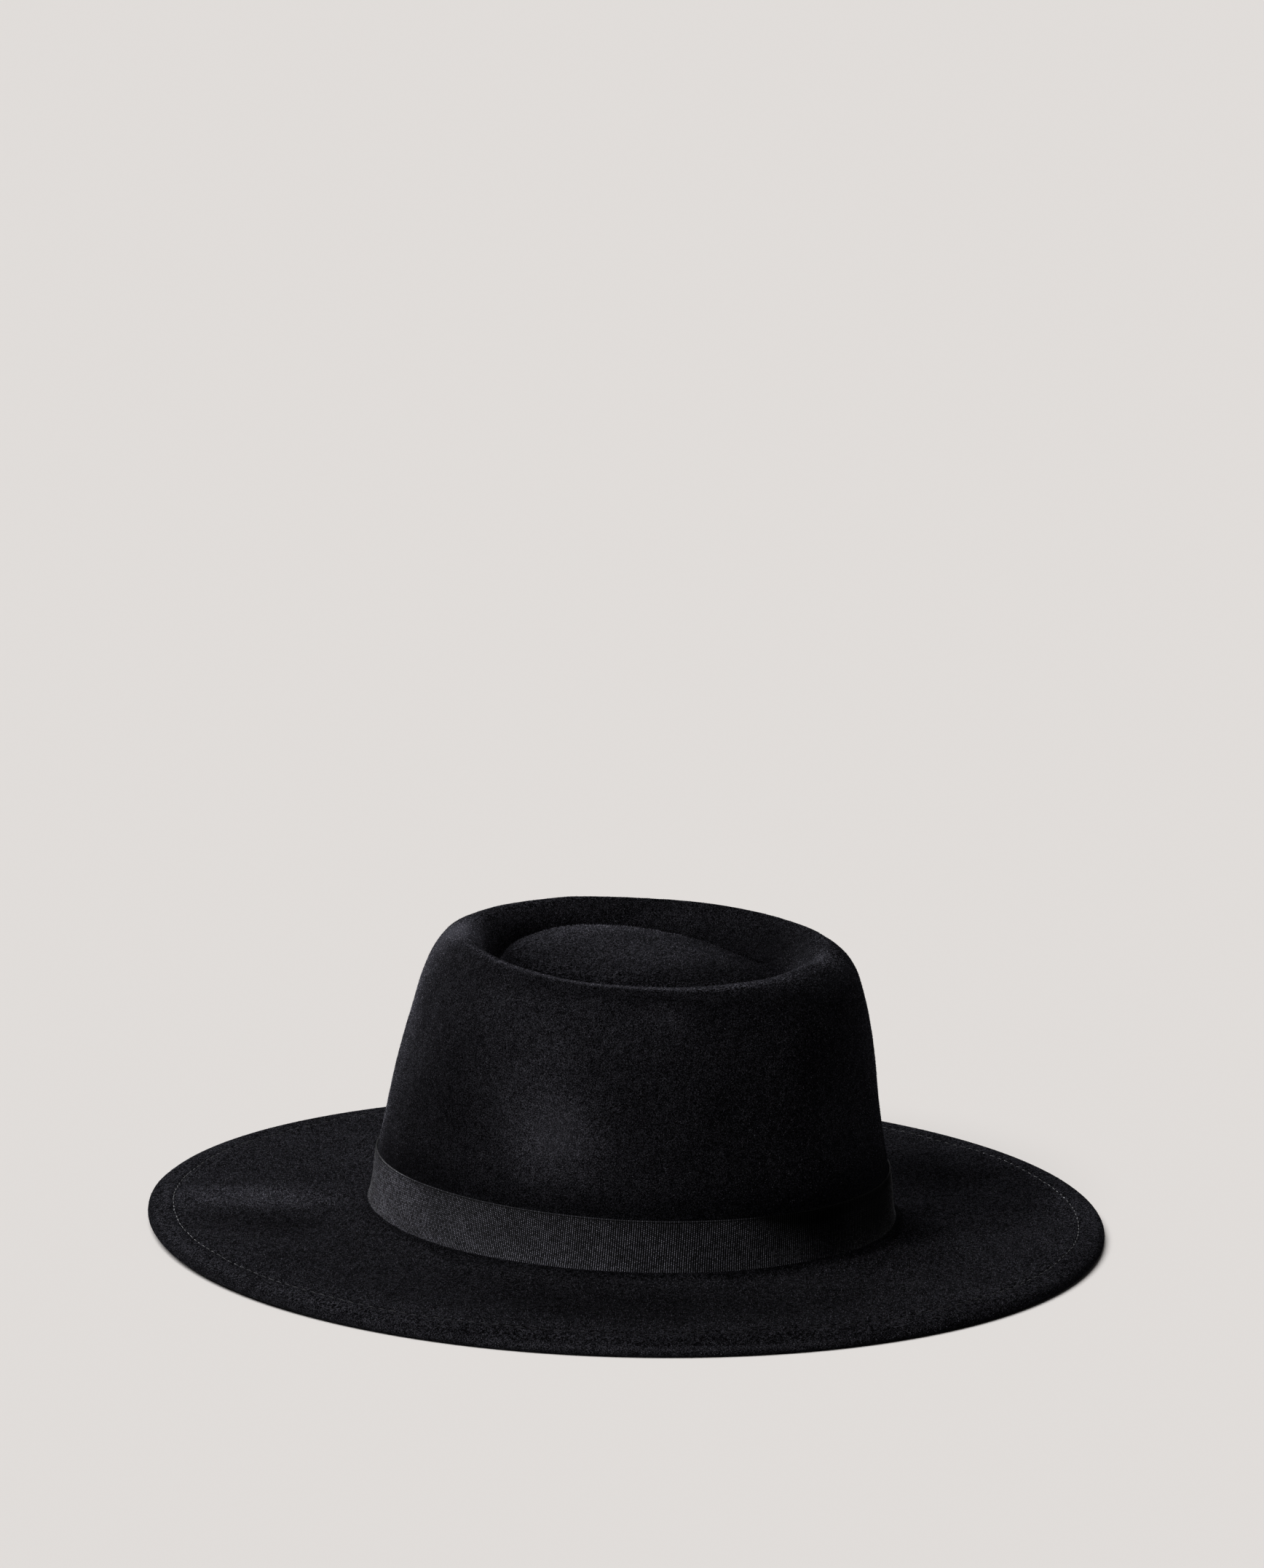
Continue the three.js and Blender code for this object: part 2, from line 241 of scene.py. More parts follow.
# The nap's fibres that stand off the felt.
TUFTS = 48000  # in each of the two pieces
TUFT_RADIUS = 0.1 * MM
TUFT_REACH = 0.5 * MM  # along the felt
TUFT_HEIGHT = 0.3 * MM  # off the felt
TALL_TUFT = 2.2  # times as tall where the felt is level
WIDE_TUFT = 1.6  # times as wide where the felt is level
REST_CLEARANCE = 1.2 * MM  # no tufts lower than this
BARE_WIDTH = 0.9 * MM  # no tufts this near the stitches
TALL_REACH = 0.9  # share of the brim's width, out to which they stand tall
PRESSED_SECTIONS = ["lip", "ridge", "ridge_turn", "shoulder"]  # where they don't
FIRST_TUFT_RING = 2  # clear of the dome's middle
CROWN_SEED = 31
BRIM_SEED = 32
STITCH_SEED = 21

# Rows round the ribbon's section: share is from its upper edge down, thick a share of its thickness,
# and ribbed how deep the ribs are there.
RIBBON_FACE = [0.04, 0.08, 0.15, 0.26, 0.38, 0.5, 0.62, 0.74, 0.85, 0.92, 0.97]
RIBBON_LOWER_EDGE = [(1, 0.9, 0.9), (1, 0.5, 0.5), (1, 0.1, 0)]
RIBBON_BACK = [(0.8, 0, 0), (0.2, 0, 0)]
RIBBON_UPPER_EDGE = [(0, 0.1, 0), (0, 0.5, 0.2)]
SELVEDGE = [(0.002, 0.95, 0.3), (0.008, 1.08, 0.3), (0.015, 1, 0.3), (0.022, 0.75, 0.3)]
RIBBON_ROWS = [(share, 1, 1) for share in RIBBON_FACE]
RIBBON_ROWS += RIBBON_LOWER_EDGE + RIBBON_BACK + RIBBON_UPPER_EDGE + SELVEDGE
HELD_RINGS = 21  # of the felt under the ribbon

# Slow waves of the ribbon up and down: how many go round, where they start, and their height.
Wave = namedtuple("Wave", "count start height")
RIBBON_WAVES = [Wave(9, 0, 0.06 * MM), Wave(4, 1, 0.05 * MM)]

# The photograph's camera.
VIEW_AZIMUTH = -53.5
VIEW_ELEVATION = 15.12
VIEW_PITCH = 12.75
VIEW_DISTANCE = 3.0
VIEW_SIDESTEP = 3 * MM
VIEW_TARGET_HEIGHT = 40 * MM
VIEW_LENS = 186.37  # in mm
SENSOR = 36  # in mm

BACKDROP = (0.745, 0.716, 0.694, 1)
WARM = (1, 0.99, 0.98)
WHITE = (1, 1, 1)
COOL = (0.97, 0.98, 1)


def cosine(angle):
    return np.cos(np.radians(angle))


def sine(angle):
    return np.sin(np.radians(angle))


def hill(distance, reach):
    """A smooth hill, 1 in the middle and 0 from one reach away."""
    return np.cos(np.minimum(np.abs(distance) / reach, 1) * math.pi / 2) ** 2


def bell(distance, width):
    return np.exp(-((distance / width) ** 2))


def angle_between(angle, other):
    return (angle - other + 180) % 360 - 180


def smooth_step(value):
    share = np.clip(value, 0, 1)
    return share * share * (3 - 2 * share)


def oval(angles, half_length, half_width, taper, back, z):
    """Points of an oval round the hat's axis, at angles from the front."""
    x = half_width * sine(angles) * (1 - taper * cosine(angles))
    y = back - half_length * cosine(angles)
    return np.stack([x, y, z + np.zeros_like(x)], -1)


def crown_points(section, angles):
    height = section.crown * CROWN_HEIGHT + section.ribbon * RIBBON_WIDTH
    tilt = CROWN_TILT * section.tilt * cosine(angles - TILT_ANGLE)
    half_length = section.long * HEAD_LENGTH / 2
    half_width = section.wide * HEAD_WIDTH / 2
    back = section.back * HEAD_LENGTH / 2
    points = oval(angles, half_length, half_width, section.taper, back, FOOT_HEIGHT + height + tilt)
    lean = CROWN_LEAN * height / CROWN_HEIGHT
    return points + [lean * sine(LEAN_ANGLE), -lean * cosine(LEAN_ANGLE), 0]


def turn_share(angles):
    """1 where the hem turns down, and 0 where it lies flat."""
    return 0.5 + 0.5 * cosine(angle_between(angles, HEM_TURN_ANGLE))


def brim_lift(angles, out):
    lift = np.zeros_like(angles)
    for fold in BRIM_FOLDS:
        around = hill(angle_between(angles, fold.angle), fold.spread)
        along = (out / BRIM_WIDTH) ** fold.swing * (1 - fold.fade * smooth_step(2 * out / BRIM_WIDTH - 1))
        lift += fold.rise * BRIM_WIDTH * around * along
    return lift


def brim_points(angles, out, z):
    return oval(angles, HEAD_LENGTH / 2 + out, HEAD_WIDTH / 2 + out, 0, 0, z + brim_lift(angles, out))


def brim_section_points(section, angles):
    out = section.brim * FLAT_BRIM + section.hem * HEM_WIDTH
    turn = section.turn * HEM_TURN * turn_share(angles)
    return brim_points(angles, out, section.thick * HEM_THICKNESS + section.rise * BRIM_RISE + turn)


def edge_points(angles, turn):
    out = BRIM_WIDTH - EDGE_RADIUS * (1 - cosine(turn))
    return brim_points(angles, out, EDGE_RADIUS * (1 + sine(turn)))


def spline(points, share):
    """A point of a centripetal Catmull-Rom curve, between the second and third of four points."""
    first, start, end, last = points
    gaps = [np.sum((b - a) ** 2, -1, keepdims=True) ** 0.25 for a, b in zip(points, points[1:])]
    before, along, after = [np.maximum(gap, 1e-7) for gap in gaps]
    leave = (start - first) / before - (end - first) / (before + along) + (end - start) / along
    reach = (end - start) / along - (last - start) / (along + after) + (last - end) / after
    leave, reach = leave * along, reach * along
    square = -3 * start + 3 * end - 2 * leave - reach
    cube = 2 * start - 2 * end + leave + reach
    return start + leave * share + square * share**2 + cube * share**3


class Profile:
    """The felt's outside from the middle of its top to the strip that rests, at given angles."""

    names = [s.name for s in CROWN_SECTIONS + BRIM_SECTIONS]

    def __init__(self, angles):
        self.angles = angles
        controls = [crown_points(CROWN_SECTIONS[1], angles + 180)]
        controls += [crown_points(section, angles) for section in CROWN_SECTIONS]
        controls += [brim_section_points(section, angles) for section in BRIM_SECTIONS]
        controls += [edge_points(angles, turn) for turn in EDGE_TURNS]
        controls.append(brim_points(angles, BRIM_WIDTH - EDGE_RADIUS, 0))
        controls.append(brim_points(angles, BRIM_WIDTH - EDGE_RADIUS - REST_WIDTH, 0))
        self.controls = controls

    def ring(self, index, share):
        """Points a share of the way from the section before to the section with this index."""
        points = spline(self.controls[index - 1 : index + 3], share) if index else self.controls[1]
        if self.names.index("ridge") < index <= self.names.index("fillet"):
            points = points - self.dent(points)
        return points

    def named(self, name, share):
        return self.ring(self.names.index(name), share)

    def dent(self, points):
        height = (points[:, 2] - FOOT_HEIGHT) / CROWN_HEIGHT
        depth = np.zeros(len(points))
        for dent in CROWN_DENTS:
            around = hill(angle_between(self.angles, dent.angle), dent.spread)
            depth += dent.depth * HEAD_WIDTH * around * hill(height - dent.height, dent.tall)
        zero = np.zeros(len(points))
        return np.stack([depth * sine(self.angles), -depth * cosine(self.angles), zero], -1)


def ring_normals(rings):
    """Directions out of a surface given as an array of rings."""
    outwards = np.gradient(rings, axis=0)
    around = np.roll(rings, -1, axis=1) - np.roll(rings, 1, axis=1)
    normals = np.cross(outwards, around)
    lengths = np.linalg.norm(normals, axis=-1, keepdims=True)
    normals = normals / np.maximum(lengths, 1e-15)
    normals[lengths[..., 0] < 1e-15] = [0, 0, 1]
    return normals


def ripple(points, ripple_row):
    """A smooth random height of about -1 to 1 at each point: a sum of plane waves."""
    rng = np.random.default_rng(ripple_row.seed)
    directions = rng.normal(size=(12, 3))
    directions /= np.linalg.norm(directions, axis=1)[:, None]
    phases = rng.uniform(0, 2 * math.pi, 12)
    return np.sin(points @ directions.T * (2 * math.pi / ripple_row.wavelength) + phases).sum(-1) / 12**0.5


def arc_shares(ring):
    """How far round a closed ring each of its points is, from 0 to 1, with 1 added at the end."""
    steps = np.linalg.norm(np.roll(ring, -1, axis=0) - ring, axis=1)
    return np.concatenate([[0], np.cumsum(steps)]) / steps.sum(), steps.sum()


def along_ring(ring, shares):
    """Points of a closed ring at shares of the way round it."""
    places, _ = arc_shares(ring)
    closed = np.concatenate([ring, ring[:1]])
    return np.stack([np.interp(np.mod(shares, 1), places, closed[:, k]) for k in range(3)], -1)


def place_object(name, data):
    """A new object in the scene."""
    piece = bpy.data.objects.new(name, data)
    bpy.context.scene.collection.objects.link(piece)
    return piece


def add_painted_tones(mesh, tones):
    """Gives each vertex how much lighter or darker its painted light and shade make it, in the attribute
    named nap.
    """
    mesh.attributes.new("nap", "FLOAT", "POINT").data.foreach_set("value", tones)


def joined(before, after):
    """Faces between two rings of vertex numbers, where one may be a pole or have more vertices."""
    if len(before) == 1:
        return [(before[0], after[j], after[(j + 1) % len(after)]) for j in range(len(after))]
    if len(after) == 1:
        return [(before[(j + 1) % len(before)], before[j], after[0]) for j in range(len(before))]
    few, many = sorted((before, after), key=len)
    ratio = len(many) // len(few)
    faces = []
    for j in range(len(few)):
        a, b = few[j], few[(j + 1) % len(few)]
        fan = [many[(ratio * j + k) % len(many)] for k in range(ratio + 1)]
        middle = (ratio + 1) // 2
        if ratio == 1:
            part = [(a, fan[0], fan[1], b)]
        else:
            part = [(a, fan[k], fan[k + 1]) for k in range(middle)]
            part.append((a, fan[middle], b))
            part += [(b, fan[k], fan[k + 1]) for k in range(middle, ratio)]
        faces += part if few is before else [face[::-1] for face in part]
    return faces


def loft(name, rings, closed=False):
    """A mesh through rings of points. Closed, the last ring joins the first; otherwise the first
    and last rings are poles of one point."""
    numbers = []
    count = 0
    for ring in rings:
        numbers.append(list(range(count, count + len(ring))))
        count += len(ring)
    pairs = list(zip(numbers, numbers[1:]))
    if closed:
        pairs.append((numbers[-1], numbers[0]))
    faces = [face for before, after in pairs for face in joined(before, after)]
    mesh = bpy.data.meshes.new(name)
    mesh.from_pydata(np.concatenate(rings).tolist(), [], faces)
    mesh.shade_smooth()
    return place_object(name, mesh)


# The felt.


def stitch_places(ring):
    """The place of each fine column along the row of stitches, counted in stitches."""
    places, length = arc_shares(ring)
    return places[:-1] * round(length / STITCH_PITCH)


def drawn_in(distance, places):
    """How far the stitches draw the felt in, at a distance from them."""
    between = np.abs(places - np.round(places)) * STITCH_PITCH
    hole = HOLE_DEPTH * bell(distance, HOLE_WIDTH) * bell(between, HOLE_WIDTH)
    return GROOVE_DEPTH * bell(distance, GROOVE_WIDTH) + hole


def felt_skin():
    """The profile of the felt's outside, its rows, and a ring of points for each row.

    A row holds the section that it leads up to, its share of the way there, and its distance from the
    stitches, which is None where it isn't close beside them.
    """
    profile = Profile(np.arange(FINE_COLUMNS) * 360 / FINE_COLUMNS)
    sections = CROWN_SECTIONS + BRIM_SECTIONS
    stitch_index = profile.names.index("stitch_line")
    flat_run = FLAT_BRIM * (sections[stitch_index].brim - sections[stitch_index - 1].brim)
    hem_run = HEM_WIDTH * sections[stitch_index + 1].hem
    rows = [(0, 1, None)]
    for index, section in enumerate(sections[1:], 1):
        for step in range(1, section.rings + 1):
            share = step / section.rings
            before = index == stitch_index and (1 - share) * flat_run < GROOVE_MARGIN
            after = index == stitch_index + 1 and share * hem_run < GROOVE_MARGIN
            if not (before or after):
                rows.append((index, share, None))
    for millimetres in GROOVE_RINGS:
        distance = millimetres * MM
        if distance <= 0:
            rows.append((stitch_index, 1 + distance / flat_run, distance))
        else:
            rows.append((stitch_index + 1, distance / hem_run, distance))
    edge_start = stitch_index + 2
    for index in range(edge_start, edge_start + len(EDGE_TURNS) + 1):
        count = EDGE_RINGS if index > edge_start else FIRST_EDGE_RINGS
        rows += [(index, step / count, None) for step in range(1, count + 1)]
    rows.sort(key=lambda row: row[0] + row[1])
    rings = np.stack([profile.ring(index, share) for index, share, _ in rows])
    return profile, rows, rings


def ripple_strength(profile, rows, rings):
    """Where the felt may ripple: not under the ribbon, and not where the hem rests."""
    strength = np.ones(rings.shape[:2])
    low = profile.named("ribbon_foot", 1)[:, 2]
    high = profile.named("ribbon_foot", 0)[:, 2]
    names = profile.names
    for i, (index, _, _) in enumerate(rows):
        if names.index("side_middle") < index <= names.index("fillet"):
            above = (rings[i][:, 2] - high) / FADE_ABOVE
            below = (low - rings[i][:, 2]) / FADE_BELOW
            strength[i] = smooth_step(np.maximum(above, below))
        if index > names.index("hem_middle"):
            strength[i] = 0
    return strength


def levels(rings, foot):
    """The distance along the felt from the ribbon's foot to each ring: inwards, or below zero, outwards."""
    steps = np.linalg.norm(np.diff(rings, axis=0), axis=-1).mean(axis=1)
    out = np.concatenate([[0], np.cumsum(steps)])
    return out[foot] - out


def painted_tone(patches, angles, level):
    """How much lighter or darker the patches' painted light and shade make the surface, at angles and one
    level.
    """
    tone = np.zeros(len(angles))
    for patch in patches:
        around = hill(angle_between(angles, patch.angle), patch.spread)
        tone += patch.tone * around * hill(level - patch.level, patch.reach)
    return tone


def underside(angles, places):
    """Rings under the hem, from the strip that rests in to the cut edge, and the one at the stitches."""
    cut_out = FLAT_BRIM - HEM_ALLOWANCE
    rest_in = BRIM_WIDTH - EDGE_RADIUS - REST_WIDTH
    turn = HEM_TURN * turn_share(angles)
    loops = [brim_points(angles, rest_in, np.zeros_like(angles))[::COARSENING]]
    for millimetres in GROOVE_RINGS[::-1]:
        out = FLAT_BRIM + millimetres * MM
        if out <= cut_out:
            continue
        ring = brim_points(angles, out, turn * (rest_in - out) / (rest_in - cut_out))
        ring[:, 2] += drawn_in(millimetres * MM, places)
        loops.append(ring)
        if millimetres == 0:
            stitch_ring = ring
    cut_top = turn + FELT + THREAD_GAP
    for out, height in (
        (cut_out + CUT_CORNER, turn),
        (cut_out, turn + CUT_CORNER),
        (cut_out, cut_top - CUT_CORNER),
    ):
        loops.append(brim_points(angles, out, height)[::COARSENING])
    return loops, stitch_ring


def inside_rings(profile, rows, rings, normals):
    """Rings of the felt's inside, from the middle of its top out: half as many as outside."""
    stitch_index = profile.names.index("stitch_line")
    loops = []
    for i, (index, share, _) in enumerate(rows):
        reached = index > stitch_index or (index == stitch_index and share > INSIDE_END)
        if not reached and (i % 2 == 0 or i == 1):
            loops.append((rings[i] - normals[i] * FELT)[::COARSENING])
    return loops


def felt_body():
    """The felt, its two naps, and the points along the stitches on top of the hem and under it."""
    profile, rows, rings = felt_skin()
    moved = sum(row.height * ripple(rings, row) for row in RIPPLES) * ripple_strength(profile, rows, rings)
    rings = rings + ring_normals(rings) * moved[..., None]
    normals = ring_normals(rings)
    distances = [distance for _, _, distance in rows]
    stitched = distances.index(0)
    places = stitch_places(rings[stitched])
    for i, distance in enumerate(distances):
        if distance is not None:
            rings[i] -= normals[i] * drawn_in(distance, places)[:, None]
    under, under_row = underside(profile.angles, places)
    loops = []
    for ring, distance in zip(rings, distances):
        loops.append(ring[::COARSENING] if distance is None else ring)
    loops += under + inside_rings(profile, rows, rings, normals)[::-1]
    loops[0] = loops[0][:1]
    loops[-1] = loops[-1][:1]
    body = loft("felt_hat", loops)

    # Painted light and shade for each vertex of the felt, and for the tufts that stand on it.
    foot = max(i for i, row in enumerate(rows) if row[0] == profile.names.index("ribbon_foot"))
    ring_levels = levels(rings, foot)
    tones = []
    for loop, level in zip(loops, ring_levels):
        tones.append(painted_tone(PAINTED_LIGHT_PATCHES, np.arange(len(loop)) * 360 / len(loop), level))
    tones = np.concatenate(tones)
    add_painted_tones(body.data, np.pad(tones, (0, len(body.data.vertices) - len(tones))))

    tone_grid = np.stack([painted_tone(PAINTED_LIGHT_PATCHES, profile.angles, level) for level in ring_levels])
    bare = [i for i, distance in enumerate(distances) if distance is not None and abs(distance) < BARE_WIDTH]
    pressed = [profile.names.index(name) for name in PRESSED_SECTIONS]
    tall_end = -TALL_REACH * BRIM_WIDTH
    loose = [row[0] not in pressed and level > tall_end for row, level in zip(rows, ring_levels)]
    loose = np.array(loose, float)
    ribbon_top = max(i for i, level in enumerate(ring_levels) if level > RIBBON_WIDTH)
    tufts = [
        nap_tufts("crown_nap", rings, tone_grid, bare, loose, FIRST_TUFT_RING, ribbon_top, CROWN_SEED),
        nap_tufts("brim_nap", rings, tone_grid, bare, loose, foot, len(rings), BRIM_SEED),
    ]
    return body, tufts, rings[stitched], under_row


def nap_tufts(name, rings, tone_grid, bare, loose, low, high, seed):
    """Tufts of fibres on the felt's outside between two rings, each a thin leaning pyramid.

    The bare rings have none, and they stand tall only where a loose ring is level.
    """
    rng = np.random.default_rng(seed)
    along = rings[1:] - rings[:-1]
    around = np.roll(rings, -1, axis=1) - rings
    areas = np.linalg.norm(np.cross(along, around[:-1]), axis=-1)
    areas[bare] = 0
    areas[:low] = 0
    areas[high:] = 0
    areas[rings[1:, :, 2] < REST_CLEARANCE] = 0
    cells = rng.choice(areas.size, TUFTS, p=(areas / areas.sum()).ravel())
    row, column = np.divmod(cells, areas.shape[1])
    u, v = rng.uniform(size=(2, TUFTS, 1))
    root = rings[row, column] + along[row, column] * u + around[row, column] * v
    normal = ring_normals(rings)[row, column]
    tangent = around[row, column] / np.linalg.norm(around[row, column], axis=-1, keepdims=True)
    across = np.cross(normal, tangent)
    turn = rng.uniform(0, 2 * math.pi, (TUFTS, 1))
    lie = tangent * np.cos(turn) + across * np.sin(turn)
    side = np.cross(normal, lie)
    flat = smooth_step((normal[:, 2:] - 0.5) / 0.4) * loose[row, None]
    radius = TUFT_RADIUS * rng.uniform(0.5, 1, (TUFTS, 1)) * (1 + (WIDE_TUFT - 1) * flat)
    reach = TUFT_REACH * rng.uniform(0.3, 1, (TUFTS, 1)) * (1 - 0.5 * flat)
    height = TUFT_HEIGHT * rng.uniform(0.15, 1, (TUFTS, 1)) * (1 + (TALL_TUFT - 1) * flat)
    tip = root + lie * reach + normal * height
    root = root - normal * radius
    corners = [root + side * radius, root - side * radius, root + normal * radius * 1.7, tip]
    vertices = np.stack(corners, 1).reshape(-1, 3)
    base = np.arange(TUFTS)[:, None, None] * 4
    faces = (base + np.array([[0, 1, 2], [1, 0, 3], [2, 1, 3], [0, 2, 3]])).reshape(-1, 3)
    mesh = bpy.data.meshes.new(name)
    mesh.from_pydata(vertices.tolist(), [], faces.tolist())
    # Each tuft takes the painted light and shade of the felt it stands on.
    add_painted_tones(mesh, np.repeat(tone_grid[row, column], 4))
    tuft_map(mesh)
    return place_object(name, mesh)


def tuft_map(mesh):
    """A map with a square cell for each tuft, where its four faces share one triangle."""
    layer = mesh.uv_layers.new(name="OFBake")
    grid = math.ceil(TUFTS**0.5)
    cell = np.stack(np.divmod(np.arange(TUFTS), grid), -1)[:, None]
    spots = np.tile(np.array([[0.2, 0.2], [0.8, 0.2], [0.5, 0.8]]), (4, 1))
    layer.data.foreach_set("uv", ((cell + spots) / grid).ravel())


# The stitches.


def thread_bar(start, end, bulge, sides=6, steps=7):
    """Rings of points of a tube from start to end that arches by bulge, with both ends sunk."""
    along = np.linspace(0, 1, steps)
    centre = start + (end - start) * along[:, None] + bulge * (1.6 * np.sin(math.pi * along) - 0.6)[:, None]
    axis = (end - start) / np.linalg.norm(end - start)
    up = bulge / np.linalg.norm(bulge)
    across = np.cross(axis, up)
    turns = np.arange(sides) * 2 * math.pi / sides
    radii = THREAD_RADIUS * np.sin(math.pi * (0.12 + 0.76 * along)) ** 0.35
    circle = np.cos(turns)[:, None] * across + np.sin(turns)[:, None] * up
    return centre[:, None] + radii[:, None, None] * circle


def stitch_mesh(name, bars):
    """One mesh of closed thread bars."""
    vertices = []
    faces = []
    for tube in bars:
        base = len(vertices)
        steps, sides, _ = tube.shape
        vertices += tube.reshape(-1, 3).tolist()
        for i in range(steps - 1):
            for j in range(sides):
                k = (j + 1) % sides
                a, b = base + i * sides, base + (i + 1) * sides
                faces.append((a + j, a + k, b + k, b + j))
        faces.append([base + j for j in reversed(range(sides))])
        faces.append([base + (steps - 1) * sides + j for j in range(sides)])
    mesh = bpy.data.meshes.new(name)
    mesh.from_pydata(vertices, [], faces)
    mesh.shade_smooth()
    return place_object(name, mesh)


def hem_stitches(top_row, under_row):
    rng = np.random.default_rng(STITCH_SEED)
    bars = []
    for row, bulge in ((top_row, TOP_BULGE), (under_row, UNDER_BULGE)):
        _, length = arc_shares(row)
        count = round(length / STITCH_PITCH)
        half = STITCH_LENGTH / STITCH_PITCH / 2
        for k in range(count):
            middle = k + 0.5 + rng.normal(0, STITCH_SHIFT)
            reach = half * (1 + rng.normal(0, STITCH_STRETCH))
            start, end = along_ring(row, np.array([middle - reach, middle + reach]) / count)
            side = np.cross(end - start, [0, 0, 1])
            side /= np.linalg.norm(side)
            start = start + side * rng.normal(0, STITCH_SLANT)
            end = end + side * rng.normal(0, STITCH_SLANT)
            bars.append(thread_bar(start, end, np.array([0, 0, bulge])))
    return stitch_mesh("hem_stitches", bars)


# The ribbon.


def ribbon_layers(arc):
    """How many layers of ribbon lie at a distance round the crown from the middle of the lap."""
    folded_end = smooth_step((arc + RIBBON_LAP / 2) / LAP_FOLD)
    under_end = 1 - smooth_step((arc - RIBBON_LAP / 2) / LAP_EASE)
    return 1 + folded_end * under_end


def between_rings(rings, share):
    """A ring at a share of the way from the first of some even rings to the last."""
    at = share * (len(rings) - 1)
    low = min(int(at), len(rings) - 2)
    part = at - low
    return rings[low] * (1 - part) + rings[low + 1] * part


def ribbon():
    """The ribbon with a ridge for each rib, its upper selvedge, and its lap."""
    even = Profile(np.arange(round(360 / ANGLE_STEP)) * ANGLE_STEP)
    shares, length = arc_shares(even.named("ribbon_foot", 0.5))
    ribs = round(length / RIB_PITCH)
    columns = ribs * len(RIB_FORM)
    places = np.arange(columns) / columns
    angles = np.interp(places, shares, np.append(even.angles, 360))
    lap_place = np.interp(LAP_ANGLE, even.angles, shares[:-1])
    layers = ribbon_layers(((places - lap_place + 0.5) % 1 - 0.5) * length)
    ridge = np.array(RIB_FORM)[np.arange(columns) % len(RIB_FORM)]
    stray = (layers - 1) * LAP_RISE
    for wave in RIBBON_WAVES:
        stray = stray + wave.height * np.sin(places * 2 * math.pi * wave.count + wave.start)
    profile = Profile(angles)
    held = np.stack([profile.named("ribbon_foot", share) for share in np.linspace(0, 1, HELD_RINGS)])
    normals = ring_normals(held)
    tall = held[0] - held[-1]
    tall /= np.linalg.norm(tall, axis=1)[:, None]
    loops = []
    for share, thick, ribbed in RIBBON_ROWS:
        edge = (share == 0) - 1.0 * (share == 1)
        outwards = RIBBON_FIT + RIBBON_THICKNESS * layers * thick - RIB_DEPTH * (1 - ridge) * ribbed
        upwards = edge * (RIB_REACH * ridge * (thick > 0)) + stray
        upwards = upwards - RIBBON_DROP * smooth_step((share - 0.6) / 0.4)
        base = between_rings(held, share)
        normal = between_rings(normals, share)
        loops.append(base + normal * outwards[:, None] + tall * upwards[:, None])
    piece = loft("grosgrain_ribbon", loops, closed=True)
    # The ribbon's painted sheen and painted shade for each vertex, from its patches.
    tones = [painted_tone(PAINTED_SHEEN_PATCHES, angles, (1 - row[0]) * RIBBON_WIDTH) for row in RIBBON_ROWS]
    add_painted_tones(piece.data, np.concatenate(tones))
    weave_map(piece.data, ribs)
    return piece


def weave_map(mesh, ribs):
    """A map that counts the ribs across, and goes as many rib pitches down as the ribbon does."""
    layer = mesh.uv_layers.new(name="weave")
    columns = ribs * len(RIB_FORM)
    rib = np.tile(np.arange(columns) / len(RIB_FORM), len(RIBBON_ROWS))
    down = np.repeat([share * RIBBON_WIDTH / RIB_PITCH for share, _, _ in RIBBON_ROWS], columns)
    corners = np.zeros(len(mesh.loops), np.int32)
    mesh.loops.foreach_get("vertex_index", corners)
    across = rib[corners].reshape(-1, 4)
    # The faces that close the ring count on past the last rib.
    across = np.where(across.max(1, keepdims=True) - across > ribs / 2, across + ribs, across)
    layer.data.foreach_set("uv", np.stack([across.ravel(), down[corners]], -1).ravel())


# Materials.


class Nodes:
    """Adds shader nodes to a material and links them."""

    def __init__(self, name):
        self.material = bpy.data.materials.new(name)
        self.material.use_nodes = True
        self.tree = self.material.node_tree
        self.shader = self.tree.nodes["Principled BSDF"]

    def add(self, kind, inputs=(), **settings):
        node = self.tree.nodes.new("ShaderNode" + kind)
        for key, value in settings.items():
            setattr(node, key, value)
        for key, value in dict(inputs).items():
            self.put(value, node.inputs[key])
        return node

    def put(self, value, socket):
        if isinstance(value, bpy.types.NodeSocket):
            self.tree.links.new(value, socket)
        else:
            socket.default_value = value

    def noise(self, vector, size, detail=2, roughness=0.5, distortion=0):
        inputs = {
            "Vector": vector,
            "Scale": 1 / size,
            "Detail": detail,
            "Roughness": roughness,
            "Distortion": distortion,
        }
        return self.add("TexNoise", inputs).outputs["Fac"]

    def math(self, operation, a, b=0.0):
        return self.add("Math", {0: a, 1: b}, operation=operation).outputs[0]

    def spread(self, value, low, high, to_low=0.0, to_high=1.0):
        inputs = {0: value, 1: low, 2: high, 3: to_low, 4: to_high}
        return self.add("MapRange", inputs).outputs[0]

    def blend(self, share, a, b):
        """A value between a and b."""
        node = self.add("Mix")
        for value, socket in zip((share, a, b), (0, 2, 3)):
            self.put(value, node.inputs[socket])
        return node.outputs[0]

    def mix(self, share, a, b):
        """A colour between a and b."""
        node = self.add("Mix", data_type="RGBA")
        self.put(share, node.inputs[0])
        self.put(a, node.inputs[6])
        self.put(b, node.inputs[7])
        return node.outputs[2]

    def bump(self, height, distance, strength):
        inputs = {"Height": height, "Distance": distance, "Strength": strength}
        return self.add("Bump", inputs).outputs["Normal"]


